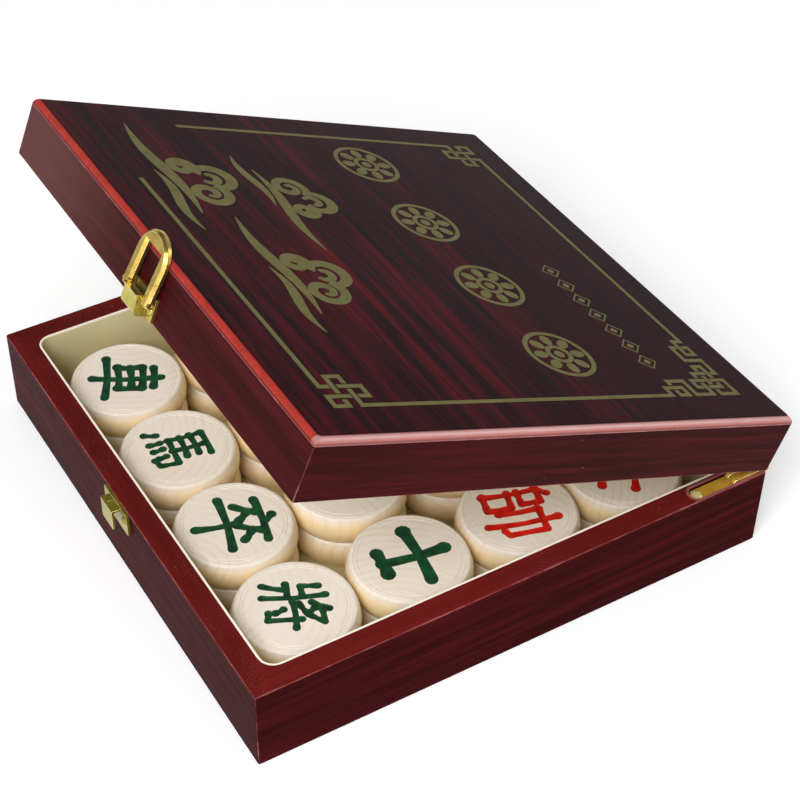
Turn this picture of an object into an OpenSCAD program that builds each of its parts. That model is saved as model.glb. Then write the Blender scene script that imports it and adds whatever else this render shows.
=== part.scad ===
// Hinged wooden box that stores a set of turned playing discs, in millimetres.
// The origin is the centre of the base's underside, -Y is the latch side, +Y the hinge side, +Z is up.
// The lid is drawn closed and then swung open about its hinge pins.

/* [Discs] */
// Widest diameter of a disc
piece_d = 49.6; // [30:0.2:70]
// Thickness of a disc
piece_h = 13.5; // [8:0.5:24]
// How far the side of a disc swells past its rounded edge
piece_bulge = 1.3; // [0.4:0.1:2]
// Radius of the rounding between the side and the faces of a disc
piece_edge_r = 1.4; // [0.5:0.1:2.5]
// Gap between neighbouring discs
piece_gap = 0.2; // [0.1:0.1:2]
// Discs side by side across the box
columns = 4; // [2:1:5]
// Discs one behind the other
rows = 4; // [2:1:5]

/* [Room around the discs] */
// Free space left of the discs
left_gap = 8.3; // [1:0.1:20]
// Free space right of the discs
right_gap = 2.1; // [0.5:0.1:20]
// Free space in front of the discs
front_gap = 1; // [0.5:0.1:20]
// Free space behind the discs
back_gap = 7.4; // [0.5:0.1:20]
// Height from the upper discs to the rim
top_gap = 7.6; // [1:0.1:20]

/* [Base] */
// Thickness of the wooden rails of base and lid
wall_t = 9.4; // [8:0.1:16]
// Radius of the outer vertical corners
outer_r = 0.8; // [0.3:0.1:3]
// Radius of the lining's inner vertical corners
inner_r = 5.5; // [1:0.1:12]
// Thickness of the lining on the inner walls
liner_t = 0.9; // [0.5:0.1:2]
// Thickness of the lining sheets under the discs and in the lid
lining_t = 0.4; // [0.2:0.1:1.5]
// Thickness of the floor board
floor_t = 2.6; // [2:0.1:8]
// How far the floor board reaches into the rails
floor_ledge = 4; // [2:0.1:6]

/* [Lid] */
// Height of the lid's rails
lid_rail_h = 22.4; // [18:0.1:40]
// Thickness of the lid's top board
top_t = 3; // [2:0.1:8]
// Square edge left under the rounding of the top board
top_land = 0.2; // [0.1:0.1:1]
// Gap between the two rims when the lid is closed
seam = 0.3; // [0.2:0.1:1]
// Opening angle of the lid as drawn
lid_open = 22.4; // [0:0.2:95]

/* [Hinges] */
// Length of the slot that holds a hinge strap, from the rear face
hinge_l = 34.3; // [28:0.1:50]
// Width of a hinge strap
strap_w = 5.8; // [5.2:0.1:6.4]
// Thickness of a hinge strap
strap_t = 1.3; // [0.8:0.1:2]
// Depth of a strap's face below the rim
strap_drop = 1; // [0.9:0.1:2]
// Gap beside a strap in its slot
slot_gap = 0.3; // [0.1:0.1:0.6]
// Distance from the middle of a hinge to the side of the box
hinge_inset = 4.5; // [4.2:0.1:5.4]
// Distance of the hinge pin behind the rear face
pin_back = 0.8; // [0.4:0.1:3]
// Outer radius of the hinge knuckles
knuckle_r = 1.9; // [1.5:0.1:2]
// Radius of the hinge pins
hinge_pin_r = 0.8; // [0.5:0.1:1]
// Width of the lid's hinge tongue, between the base's two cheeks
tongue_w = 1.7; // [1:0.1:2.4]
// Gap on each side of the tongue
tongue_gap = 0.2; // [0.1:0.1:0.3]
// Length of the raised cheeks, from the rear face
cheek_l = 15.3; // [8:0.1:20]
// Height of the cheeks above the base's rim
cheek_up = 0.7; // [0.3:0.1:0.8]

/* [Latch] */
// Width of the latch plates and of the loop
latch_w = 20.6; // [18:0.2:30]
// Width of the folded hook on the base and of the nose on the lid
hook_w = 10.2; // [7:0.2:11]
// Thickness of the two wall plates
plate_t = 1.2; // [0.8:0.1:1.4]
// Thickness of the folded sheet
sheet_t = 1; // [0.6:0.1:1.2]
// Height of the plate on the lid
bracket_h = 10; // [9:0.1:16]
// Height of the plate on the base
keeper_h = 11; // [10.6:0.1:14]
// How far the nose stands out from the lid
nose_out = 6; // [5.6:0.1:8]
// Height of the nose
nose_h = 9; // [8.8:0.1:9.8]
// Radius of the nose's lower fold
nose_r = 2.4; // [1.4:0.1:2.6]
// How far the nose's upper edge is flared
nose_flare = 1; // [0.2:0.1:1.5]
// Height of the loop's pivot above the lid's rim
pivot_up = 7.5; // [7:0.1:8]
// Distance of the loop's pivot from the lid's face
pivot_out = 3.5; // [3.3:0.1:4]
// Radius of the loop's pivot pin
pivot_r = 0.9; // [0.6:0.1:1]
// Distance from the pivot to the far edge of the loop's window
window_l = 18.9; // [17:0.1:24]
// Width of the loop's end bar at its middle
bar_w = 5.5; // [3:0.1:7]
// Thickness of the loop
loop_t = 2.6; // [2:0.1:2.8]
// Width of the bevel along the loop's edges
loop_bevel = 1.1; // [0.4:0.1:1.4]
// Length of the loop's legs past the pivot
heel_l = 1.3; // [1.2:0.1:1.5]
// Angle by which the raised loop leans towards the lid
loop_lean = 7; // [0:0.5:7]
// Depth of the hook's shelf below the base's rim
shelf_drop = 0.9; // [0.7:0.1:2]
// How far the hook stands out from the base
hook_out = 5; // [4.6:0.1:5.2]
// Gap between the hook and the loop's window, at the sides and the end
hook_gap = 0.3; // [0.2:0.1:0.6]

/* [Fasteners] */
// Radius of the dome heads of the latch nails
nail_head_r = 1.7; // [1.2:0.1:2]
// Height of the dome heads of the latch nails
nail_head_h = 0.8; // [0.4:0.1:0.8]
// Radius of the nails' shanks
nail_r = 0.7; // [0.4:0.1:1]
// Length of the nails' shanks, from the face of the wood
nail_l = 6; // [3:0.5:7]
// Height of the lid's nails above its rim
nail_up = 4.2; // [3.4:0.1:5]
// Depth of the base's nails below its rim
nail_down = 5; // [4:0.1:6]
// Radius of the hinge screws' heads
screw_head_r = 2.4; // [1.8:0.1:2.5]
// Height of the hinge screws' heads
screw_head_h = 0.9; // [0.5:0.1:0.9]
// Radius of the hinge screws' shanks
screw_r = 1.2; // [0.8:0.1:1.4]
// Length of the hinge screws' shanks in the wood
screw_l = 9; // [5:0.5:12]

/* [Hidden] */
$fn = 64;
eps = 0.01;
layers = 2;
// Clearance of nails and screws in their holes, and of the pins in their bores
hole_fit = 0.02;
pin_fit = 0.05;
// Gap between the lid's own face and what is fixed in front of it
face_gap = 0.4;

// The discs set the opening, and the opening and the walls set the box
pitch = piece_d + piece_gap;
open_w = columns * pitch - piece_gap + left_gap + right_gap;
open_d = rows * pitch - piece_gap + front_gap + back_gap;
cavity_w = open_w + 2 * liner_t;
cavity_d = open_d + 2 * liner_t;
cavity_r = inner_r + liner_t;
box_w = cavity_w + 2 * wall_t;
box_d = cavity_d + 2 * wall_t;
floor_z = floor_t + lining_t;
base_h = floor_z + layers * piece_h + top_gap;
lid_z = base_h + seam;
lid_top_z = lid_z + lid_rail_h;
first_x = open_w / 2 - right_gap - piece_d / 2 - (columns - 1) * pitch;
first_y = front_gap + piece_d / 2 - open_d / 2;
front_y = -box_d / 2;
rear_y = box_d / 2;

// The hinge axis lies behind the rear face, halfway up the seam
axis_y = rear_y + pin_back;
axis_z = base_h + seam / 2;
hinge_x = box_w / 2 - hinge_inset;
slot_w = strap_w + 2 * slot_gap;
slot_depth = strap_drop + strap_t;
strap_low = seam / 2 + slot_depth;
strap_high = seam / 2 + strap_drop;
strap_back = knuckle_r + face_gap;
screw_y = pin_back + hinge_l - slot_w / 2;
cheek_w = (strap_w - tongue_w) / 2 - tongue_gap;
cheek_top = cheek_up - seam / 2;

// The latch hangs from a pivot on the lid and its window closes over the hook on the base
pivot_z = lid_z + pivot_up;
window_w = hook_w + 2 * hook_gap;
loop_l = window_l + bar_w;
hook_end = pivot_z - window_l + hook_gap;
wing_x = (latch_w + hook_w) / 4;

function piece_name(layer, row, column) =
    str("piece_", layer == 1 ? "low" : "top", "_r", row, "c", column);

// Plain shapes that several pieces share

module rounded_rect(w, d, r) {
    square([w - 2 * r, d], center = true);
    square([w, d - 2 * r], center = true);
    for (x = [-1, 1], y = [-1, 1])
        translate([x * (w / 2 - r), y * (d / 2 - r)]) circle(r);
}

module dome(r, h) {
    ball_r = (r * r + h * h) / (2 * h);
    intersection() {
        translate([0, 0, h - ball_r]) sphere(ball_r);
        cylinder(r = r, h = h);
    }
}

// Turns a shape drawn upwards so that it points out of the latch side
module outward() {
    rotate([90, 0, 0]) children();
}

// Extrudes a side profile, drawn as distance out against height, across the latch
module across(w) {
    translate([w / 2, 0, 0]) rotate([90, 0, -90]) linear_extrude(w) children();
}

// Swings what is drawn for the closed lid to the angle of the open one
module lid_pose() {
    translate([0, axis_y, axis_z]) rotate([-lid_open, 0, 0])
        translate([0, -axis_y, -axis_z]) children();
}

// One rail of a mitred frame lies along each side: 0 front, 1 right, 2 back, 3 left
module frame_rail(side, h) {
    along = side % 2 == 0 ? box_w : box_d;
    deep = side % 2 == 0 ? box_d : box_w;
    corner = wall_t + cavity_r;
    linear_extrude(h) intersection() {
        difference() {
            rounded_rect(box_w, box_d, outer_r);
            rounded_rect(cavity_w, cavity_d, cavity_r);
        }
        rotate(side * 90) translate([0, -deep / 2])
            polygon([[-along / 2, 0], [along / 2, 0], [along / 2 - corner, corner],
                     [corner - along / 2, corner]]);
    }
}

// Two round-ended slots that run out through the rear face, cut into the rim of base or lid
module hinge_slots(h) {
    for (x = [-hinge_x, hinge_x]) translate([x, rear_y - hinge_l, 0]) {
        translate([0, slot_w / 2, 0]) cylinder(d = slot_w, h = h);
        translate([-slot_w / 2, slot_w / 2, 0]) cube([slot_w, hinge_l, h]);
    }
}

module screw_holes(z, h) {
    for (x = [-hinge_x, hinge_x]) translate([x, axis_y - screw_y, z])
        cylinder(r = screw_r + hole_fit, h = h);
}

module nail_holes(z) {
    for (x = [-wing_x, wing_x]) translate([x, front_y + nail_l + hole_fit, z])
        outward() cylinder(r = nail_r + hole_fit, h = nail_l + plate_t + 1);
}

// Base

module base_rail(side) {
    color("#5a1f22") difference() {
        frame_rail(side, base_h);
        translate([0, 0, -eps]) linear_extrude(floor_t + eps)
            square([cavity_w + 2 * floor_ledge, cavity_d + 2 * floor_ledge], center = true);
        translate([0, 0, base_h - slot_depth]) hinge_slots(slot_depth + 1);
        screw_holes(base_h - slot_depth - screw_l - hole_fit, screw_l + 1);
        nail_holes(base_h - nail_down);
    }
}

module base_floor_panel() {
    color("#6b3a26") linear_extrude(floor_t)
        square([cavity_w + 2 * floor_ledge, cavity_d + 2 * floor_ledge], center = true);
}

module base_liner() {
    color("#efe6cf") translate([0, 0, floor_z]) linear_extrude(base_h - floor_z) difference() {
        rounded_rect(cavity_w, cavity_d, cavity_r);
        rounded_rect(open_w, open_d, inner_r);
    }
}

module base_floor_lining() {
    color("#e9dfc4") translate([0, 0, floor_t]) linear_extrude(lining_t)
        rounded_rect(cavity_w, cavity_d, cavity_r);
}

// Lid

module lid_rail(side) {
    color("#5a1f22") lid_pose() difference() {
        translate([0, 0, lid_z]) frame_rail(side, lid_rail_h);
        translate([0, 0, lid_z - 1]) hinge_slots(slot_depth + 1);
        screw_holes(lid_z + slot_depth - 1, screw_l + 1 + hole_fit);
        nail_holes(lid_z + nail_up);
    }
}

// Edge section of the top board: square below, rounded over above
module top_section(w) {
    edge_r = top_t - top_land;
    translate([-w / 2, 0]) square([w, top_land]);
    translate([edge_r - w / 2, 0]) square([w - 2 * edge_r, top_t]);
    for (x = [-1, 1]) translate([x * (w / 2 - edge_r), 0]) intersection() {
        translate([0, top_land]) circle(edge_r);
        translate([-edge_r, 0]) square([2 * edge_r, top_t]);
    }
}

module lid_top_panel() {
    color("#4a1418") lid_pose() translate([0, 0, lid_top_z]) intersection() {
        translate([0, box_d / 2, 0]) rotate([90, 0, 0]) linear_extrude(box_d) top_section(box_w);
        translate([-box_w / 2, 0, 0]) rotate([90, 0, 90]) linear_extrude(box_w) top_section(box_d);
    }
}

module lid_lining() {
    color("#efe6cf") lid_pose() translate([0, 0, lid_z]) difference() {
        linear_extrude(lid_rail_h) rounded_rect(cavity_w, cavity_d, cavity_r);
        translate([0, 0, -1]) linear_extrude(lid_rail_h - lining_t + 1)
            rounded_rect(open_w, open_d, inner_r);
    }
}

// Hinges, drawn about the pin's axis with the base's leaf below and the lid's leaf above

module strap(z) {
    translate([0, -screw_y, z]) {
        cylinder(d = strap_w, h = strap_t);
        translate([-strap_w / 2, 0, 0]) cube([strap_w, screw_y - strap_back, strap_t]);
    }
}

module screw_bore() {
    translate([0, -screw_y, -strap_low - 1])
        cylinder(r = screw_r + hole_fit, h = 2 * strap_low + 2);
}

module pin_bore() {
    translate([-strap_w, 0, 0]) rotate([0, 90, 0])
        cylinder(r = hinge_pin_r + pin_fit, h = 2 * strap_w);
}

// Side outline of a cheek: sloped in front, then level back to the knuckle
module cheek_outline() {
    reach = cheek_l + pin_back;
    slope = cheek_top + strap_high;
    polygon([[-reach, -strap_low], [-reach, -strap_high], [slope - reach, cheek_top],
             [0, cheek_top], [0, -strap_low + strap_t / 2], [-knuckle_r, -strap_low]]);
}

module hinge_base_leaf(x) {
    color("goldenrod") translate([x, axis_y, axis_z]) difference() {
        union() {
            strap(-strap_low);
            for (side = [-1, 1]) translate([side * (strap_w - cheek_w) / 2 - cheek_w / 2, 0, 0]) {
                rotate([90, 0, 90]) linear_extrude(cheek_w) cheek_outline();
                rotate([0, 90, 0]) cylinder(r = knuckle_r, h = cheek_w);
            }
        }
        screw_bore();
        pin_bore();
    }
}

module hinge_lid_leaf(x) {
    color("goldenrod") lid_pose() translate([x, axis_y, axis_z]) difference() {
        union() {
            strap(strap_high);
            translate([-tongue_w / 2, 0, 0]) {
                rotate([90, 0, 90]) linear_extrude(tongue_w)
                    polygon([[-cheek_l, 0], [0, 0], [0, knuckle_r], [-knuckle_r, strap_low],
                             [-cheek_l, strap_low]]);
                rotate([0, 90, 0]) cylinder(r = knuckle_r, h = tongue_w);
            }
        }
        screw_bore();
        pin_bore();
    }
}

module hinge_pin(x) {
    color("gold") translate([x - strap_w / 2, axis_y, axis_z]) rotate([0, 90, 0])
        cylinder(r = hinge_pin_r, h = strap_w);
}

// Screw pointing down, its head's underside at the origin, with a cross recess
module screw() {
    cross_w = 0.6;
    difference() {
        dome(screw_head_r, screw_head_h);
        for (turn = [0, 90]) rotate(turn)
            translate([-screw_head_r * 0.6, -cross_w / 2, screw_head_h * 0.4])
                cube([screw_head_r * 1.2, cross_w, screw_head_h]);
    }
    translate([0, 0, -screw_l - strap_t]) cylinder(r = screw_r, h = screw_l + strap_t);
}

module hinge_base_screws() {
    color("gold") for (x = [-hinge_x, hinge_x])
        translate([x, axis_y - screw_y, base_h - strap_drop]) screw();
}

module hinge_lid_screws() {
    color("gold") lid_pose() for (x = [-hinge_x, hinge_x])
        translate([x, axis_y - screw_y, lid_z + strap_drop]) rotate([180, 0, 0]) screw();
}

// Latch

module wall_plate(z, h) {
    translate([0, front_y, z + h / 2]) outward()
        linear_extrude(plate_t) rounded_rect(latch_w, h, sheet_t / 2);
}

// Side profile of the nose: out along its floor, round the fold and up to the top
module nose_profile(shrink) {
    out = nose_out - shrink;
    r = nose_r - shrink;
    translate([0, shrink]) {
        square([out - r, nose_h]);
        translate([0, r]) square([out, nose_h - r]);
        translate([out - r, r]) circle(r);
    }
}

module latch_bracket() {
    flare_h = 2;
    color("goldenrod") lid_pose() difference() {
        union() {
            wall_plate(lid_z, bracket_h);
            translate([0, front_y, lid_z]) across(hook_w) difference() {
                nose_profile(0);
                nose_profile(sheet_t);
            }
            for (side = [-1, 1]) translate([side * (hook_w - sheet_t) / 2, front_y, lid_z])
                across(sheet_t) nose_profile(0);
            translate([0, front_y, lid_z]) across(hook_w)
                polygon([[nose_out - sheet_t, nose_h - flare_h], [nose_out, nose_h - flare_h],
                         [nose_out + nose_flare, nose_h], [nose_out + nose_flare - sheet_t, nose_h]]);
        }
        translate([-latch_w, front_y - pivot_out, pivot_z]) rotate([0, 90, 0])
            cylinder(r = pivot_r + hole_fit, h = 2 * latch_w);
        nail_holes(lid_z + nail_up);
    }
}

module latch_pin() {
    color("gold") lid_pose() translate([-latch_w / 2, front_y - pivot_out, pivot_z])
        rotate([0, 90, 0]) cylinder(r = pivot_r, h = latch_w);
}

// Solid blank of the loop, lying flat, with its outer edges bevelled and a round end
module loop_blank() {
    end_r = latch_w / 2;
    flat_t = loop_t - loop_bevel;
    arm_l = loop_l - end_r;
    translate([0, arm_l, 0]) {
        cylinder(r = end_r, h = flat_t);
        translate([0, 0, flat_t]) cylinder(r1 = end_r, r2 = end_r - loop_bevel, h = loop_bevel);
    }
    translate([0, arm_l, 0]) rotate([90, 0, 0]) linear_extrude(arm_l + heel_l)
        polygon([[-end_r, 0], [end_r, 0], [end_r, flat_t], [end_r - loop_bevel, loop_t],
                 [loop_bevel - end_r, loop_t], [-end_r, flat_t]]);
}

// The window's sides are bevelled too, and its end is square
module loop_window() {
    translate([0, window_l, -1]) rotate([90, 0, 0]) linear_extrude(window_l + 2 * heel_l)
        translate([-window_w / 2, 0]) square([window_w, loop_t + 2]);
    translate([0, window_l, 0]) rotate([90, 0, 0]) linear_extrude(window_l + 2 * heel_l)
        polygon([[-window_w / 2, loop_t - loop_bevel], [window_w / 2, loop_t - loop_bevel],
                 [window_w / 2 + loop_bevel, loop_t + eps], [-window_w / 2 - loop_bevel, loop_t + eps]]);
}

module latch_loop() {
    color("gold") lid_pose() translate([0, front_y - pivot_out, pivot_z])
        rotate([90 - loop_lean, 0, 0]) translate([0, 0, -loop_t / 2]) difference() {
            loop_blank();
            loop_window();
            translate([-latch_w, 0, loop_t / 2]) rotate([0, 90, 0])
                cylinder(r = pivot_r + pin_fit, h = 2 * latch_w);
        }
}

module latch_keeper() {
    shelf_z = base_h - shelf_drop;
    plate_z = base_h - face_gap - keeper_h;
    lip_h = shelf_z - hook_end;
    color("goldenrod") difference() {
        union() {
            wall_plate(plate_z, keeper_h);
            translate([-hook_w / 2, front_y - hook_out, shelf_z - sheet_t])
                cube([hook_w, hook_out, sheet_t]);
            translate([0, front_y - hook_out + sheet_t, shelf_z - lip_h / 2]) outward()
                linear_extrude(sheet_t) union() {
                    rounded_rect(hook_w, lip_h, sheet_t);
                    translate([-hook_w / 2, 0]) square([hook_w, lip_h / 2]);
                }
            translate([0, front_y - (hook_out + plate_t) / 2, shelf_z])
                dome((hook_out - plate_t) / 2 - face_gap / 2, (shelf_drop + seam) / 3);
        }
        nail_holes(base_h - nail_down);
    }
}

// Nail pointing into the wood, its dome head on the plate
module nail() {
    outward() {
        translate([0, 0, plate_t]) dome(nail_head_r, nail_head_h);
        translate([0, 0, -nail_l]) cylinder(r = nail_r, h = nail_l + plate_t);
    }
}

module latch_bracket_nails() {
    color("gold") lid_pose() for (x = [-wing_x, wing_x])
        translate([x, front_y, lid_z + nail_up]) nail();
}

module latch_keeper_nails() {
    color("gold") for (x = [-wing_x, wing_x])
        translate([x, front_y, base_h - nail_down]) nail();
}

// Half section of a disc: flat faces, rounded edges and a swelling side
module piece_section() {
    edge = piece_d / 2 - piece_bulge;
    half = piece_h / 2 - piece_edge_r;
    side_r = (piece_bulge * piece_bulge + half * half) / (2 * piece_bulge);
    square([edge - piece_edge_r, piece_h]);
    translate([0, piece_edge_r]) square([edge, 2 * half]);
    for (z = [piece_edge_r, piece_h - piece_edge_r])
        translate([edge - piece_edge_r, z]) circle(piece_edge_r);
    intersection() {
        translate([piece_d / 2 - side_r, piece_h / 2]) circle(side_r);
        translate([edge - piece_edge_r, piece_edge_r]) square([piece_d, 2 * half]);
    }
}

module piece(layer, row, column) {
    color("burlywood")
        translate([first_x + (column - 1) * pitch, first_y + (row - 1) * pitch,
                   floor_z + (layer - 1) * piece_h])
        rotate_extrude() piece_section();
}

base_rail(0);  // base_front_rail
base_rail(1);  // base_right_rail
base_rail(2);  // base_back_rail
base_rail(3);  // base_left_rail
base_floor_panel();
base_liner();
base_floor_lining();
lid_rail(0);  // lid_front_rail
lid_rail(1);  // lid_right_rail
lid_rail(2);  // lid_back_rail
lid_rail(3);  // lid_left_rail
lid_top_panel();
lid_lining();
hinge_base_leaf(-hinge_x);  // hinge_base_leaf_left
hinge_base_leaf(hinge_x);  // hinge_base_leaf_right
hinge_lid_leaf(-hinge_x);  // hinge_lid_leaf_left
hinge_lid_leaf(hinge_x);  // hinge_lid_leaf_right
hinge_pin(-hinge_x);  // hinge_pin_left
hinge_pin(hinge_x);  // hinge_pin_right
hinge_base_screws();
hinge_lid_screws();
latch_bracket();
latch_loop();
latch_pin();
latch_keeper();
latch_bracket_nails();
latch_keeper_nails();
for (layer = [1:layers], row = [1:rows], column = [1:columns])
    piece(layer, row, column);
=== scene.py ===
import random
from math import atan2, cos, dist, hypot, pi, radians, sin, sqrt

import bpy
import bmesh
import numpy as np
from mathutils import Matrix, Vector
from mathutils.geometry import delaunay_2d_cdt


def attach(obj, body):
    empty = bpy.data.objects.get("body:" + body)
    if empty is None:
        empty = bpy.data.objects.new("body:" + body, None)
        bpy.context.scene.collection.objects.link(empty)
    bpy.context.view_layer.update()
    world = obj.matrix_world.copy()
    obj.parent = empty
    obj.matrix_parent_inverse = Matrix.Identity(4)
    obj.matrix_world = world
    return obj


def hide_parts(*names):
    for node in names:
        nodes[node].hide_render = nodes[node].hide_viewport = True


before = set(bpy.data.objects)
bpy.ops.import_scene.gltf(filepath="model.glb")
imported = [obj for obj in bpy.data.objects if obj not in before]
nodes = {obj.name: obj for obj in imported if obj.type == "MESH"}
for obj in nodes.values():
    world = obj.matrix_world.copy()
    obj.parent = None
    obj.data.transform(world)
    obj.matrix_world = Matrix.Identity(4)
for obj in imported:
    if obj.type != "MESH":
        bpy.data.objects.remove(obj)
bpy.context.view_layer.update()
mm = 0.001
print("stage: frame loaded,", len(nodes), "nodes")

# The box as it is built, in millimetres: the base stands at z 0, the lid is given as it lies when shut
box = {
    "width": 230.0, "depth": 228.0, "wall": 9.4,
    "outerRadius": 0.8, "innerRadius": 6.4,
    "baseTop": 37.6,
    "lidBottom": 37.9, "lidRailTop": 60.3, "boardTop": 63.3,
    "hingeY": 114.8, "hingeZ": 37.75, "lidAngle": 22.4,
    "slotX": 110.5, "slotLength": 34.3, "slotWidth": 6.4, "slotDepth": 2.3,
}
slotRoundY = box["depth"] / 2 - box["slotLength"] + box["slotWidth"] / 2
hingePoint = Vector((0, box["hingeY"] * mm, box["hingeZ"] * mm))
lidTurn = radians(box["lidAngle"])
lidPose = (Matrix.Translation(hingePoint) @ Matrix.Rotation(-lidTurn, 4, "X")
           @ Matrix.Translation(-hingePoint))


# Small helpers for nodes

class Wire:
    # an output socket to reckon with: each sign adds a maths node to its tree
    def __init__(self, socket):
        self.socket = socket
        self.tree = socket.id_data

    def __add__(self, other):
        return maths("ADD", self, other)

    def __sub__(self, other):
        return maths("SUBTRACT", self, other)

    def __rsub__(self, other):
        return maths("SUBTRACT", other, self)

    def __mul__(self, other):
        return maths("MULTIPLY", self, other)

    def __truediv__(self, other):
        return maths("DIVIDE", self, other)

    def __abs__(self):
        return maths("ABSOLUTE", self)


def tint(code):
    parts = [int(code[i:i + 2], 16) / 255 for i in (1, 3, 5)]
    return tuple(c / 12.92 if c <= 0.04045 else ((c + 0.055) / 1.055) ** 2.4 for c in parts) + (1.0,)


def plug(node, values):
    # links each wire to the input of that name, and sets each plain value or colour code there
    for key, value in dict(values).items():
        if isinstance(value, Wire):
            value.tree.links.new(value.socket, node.inputs[key])
        else:
            node.inputs[key].default_value = tint(value) if isinstance(value, str) else value
    return node


def add(tree, kind, values=(), **settings):
    made = tree.nodes.new(kind)
    for name, value in settings.items():
        setattr(made, name, value)
    return plug(made, values)


def wire(tree, kind, values=(), out=0, **settings):
    return Wire(add(tree, kind, values, **settings).outputs[out])


def treeOf(*values):
    return next(value.tree for value in values if isinstance(value, Wire))


def maths(operation, *values):
    return wire(treeOf(*values), "ShaderNodeMath", enumerate(values), operation=operation)


def vector(operation, *values, out=0):
    return wire(treeOf(*values), "ShaderNodeVectorMath", enumerate(values), out, operation=operation)


def larger(first, second):
    return maths("MAXIMUM", first, second)


def smaller(first, second):
    return maths("MINIMUM", first, second)


def xyz(place):
    return [Wire(socket) for socket in add(place.tree, "ShaderNodeSeparateXYZ", {0: place}).outputs]


def combine(*values):
    return wire(treeOf(*values), "ShaderNodeCombineXYZ", enumerate(values))


def fade(value, low, high, start=0.0, end=1.0):
    return wire(value.tree, "ShaderNodeMapRange", {0: value, 1: low, 2: high, 3: start, 4: end},
                interpolation_type="SMOOTHSTEP")


def mix(share, first, second):
    return wire(treeOf(share, first, second), "ShaderNodeMix", {0: share, 6: first, 7: second}, 2,
                data_type="RGBA")


def over(colour, *coats):
    # lays coat after coat over the colour, each by its own share
    for share, coat in coats:
        colour = mix(share, colour, coat)
    return colour


def noise(place, scale, detail=3.0, rough=0.55, out=0):
    return wire(place.tree, "ShaderNodeTexNoise",
                {"Vector": place, "Scale": scale, "Detail": detail, "Roughness": rough}, out)


def newTree(kind, name, inputs, output):
    # inputs and outputs are named, each with its kind of socket
    tree = bpy.data.node_groups.new(name, kind + "NodeTree")
    for side, sockets in (("INPUT", inputs), ("OUTPUT", output)):
        for label, word in sockets.items():
            tree.interface.new_socket(name=label, in_out=side, socket_type="NodeSocket" + word)
    given = {socket.name: Wire(socket) for socket in tree.nodes.new("NodeGroupInput").outputs}
    return tree, given, tree.nodes.new("NodeGroupOutput")


def useGroup(group, values):
    made = add(values["Vector"].tree, "ShaderNodeGroup", values, node_tree=group)
    return {socket.name: Wire(socket) for socket in made.outputs}


def newFinish(name, onLid=False):
    material = bpy.data.materials.new(name)
    material.use_nodes = True
    place = wire(material.node_tree, "ShaderNodeTexCoord", out="Object")
    if onLid:   # turns the pattern back to where the shut lid lies
        place = wire(place.tree, "ShaderNodeMapping",
                     {"Vector": place, "Location": hingePoint, "Rotation": (-lidTurn, 0, 0)},
                     vector_type="TEXTURE")
        place = vector("ADD", place, hingePoint)
    return material, place


def complete(material, colour, rough, height, rise, specular, more=()):
    relief = wire(height.tree, "ShaderNodeBump", {"Height": height, "Distance": rise, "Strength": 1.0})
    plug(material.node_tree.nodes["Principled BSDF"],
         {"Base Color": colour, "Roughness": rough, "Normal": relief, "Specular IOR Level": specular, **dict(more)})
    return material


# Shared effects

def makeGrain():
    # long streaks, fine pores and broad clouds of a lacquered rosewood look
    tree, given, out = newTree("Shader", "woodGrain", {"Vector": "Vector", "Stretch": "Vector"},
                               {"Streak": "Float", "Fine": "Float", "Broad": "Float"})
    long = vector("MULTIPLY", given["Vector"], given["Stretch"])
    for name, scale, detail, rough, low, high in [
            ("Streak", 1.0, 5.0, 0.6, 0.36, 0.66), ("Fine", 3.5, 3.0, 0.6, 0.35, 0.7),
            ("Broad", 0.2, 3.0, 0.5, 0.35, 0.68)]:
        plug(out, {name: fade(noise(long, scale, detail, rough), low, high)})
    return tree


def makeEdgeWear():
    # pale rubbed lines along the outer edges of a block, by the middle one of the distances to its faces
    tree, given, out = newTree("Shader", "edgeWear", {
        "Vector": "Vector", "Half Size": "Vector", "Width": "Float", "Patchiness": "Float"}, {"Mask": "Float"})
    place = given["Vector"]
    a, b, c = xyz(vector("SUBTRACT", given["Half Size"], vector("ABSOLUTE", place)))
    middle = larger(smaller(a, b), smaller(larger(a, b), c))
    reach = given["Width"] * fade(noise(place, 190.0, 4.0, 0.6), 0.2, 0.8, 0.55, 1.5)
    line = fade(middle / reach, 0.35, 1.0, 1.0, 0.0)
    patch = fade(noise(place, 45.0, 5.0, 0.7), 0.38, 0.62)
    plug(out, {"Mask": line * (1.0 - given["Patchiness"] * (1.0 - patch))})
    return tree


def makeSpecks():
    # a few pale dust specks and pinholes in the lacquer: only cells with a high draw have one
    tree, given, out = newTree("Shader", "lacquerSpecks", {"Vector": "Vector", "Cell": "Float", "Size": "Float"},
                               {"Mask": "Float"})
    cells = add(tree, "ShaderNodeTexVoronoi", {"Vector": given["Vector"], "Scale": given["Cell"]},
                feature="F1").outputs
    chosen = wire(tree, "ShaderNodeSeparateColor", {0: Wire(cells["Color"])})
    spot = fade(Wire(cells["Distance"]), 0.0, given["Size"], 1.0, 0.0)
    plug(out, {"Mask": spot * maths("GREATER_THAN", chosen, 0.72)})
    return tree


def makeSlotEdge():
    # distance to the outline of the two round-ended hinge slots
    tree, given, out = newTree("Shader", "slotEdge", {
        "Vector": "Vector", "Slot X": "Float", "Round Y": "Float", "Radius": "Float", "Width": "Float"},
        {"Mask": "Float"})
    x, y, _ = xyz(given["Vector"])
    across = abs(x) - given["Slot X"]
    along = smaller(y - given["Round Y"], 0.0)
    away = maths("SQRT", across * across + along * along)
    plug(out, {"Mask": fade(abs(away - given["Radius"]) / given["Width"], 0.3, 1.0, 1.0, 0.0)})
    return tree


woodGrain = makeGrain()
edgeWear = makeEdgeWear()
lacquerSpecks = makeSpecks()
slotEdge = makeSlotEdge()
print("stage: shared effects made")


def specks(place, cell, size):
    return useGroup(lacquerSpecks, {"Vector": place, "Cell": cell, "Size": size})["Mask"]


# Finishes

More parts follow.
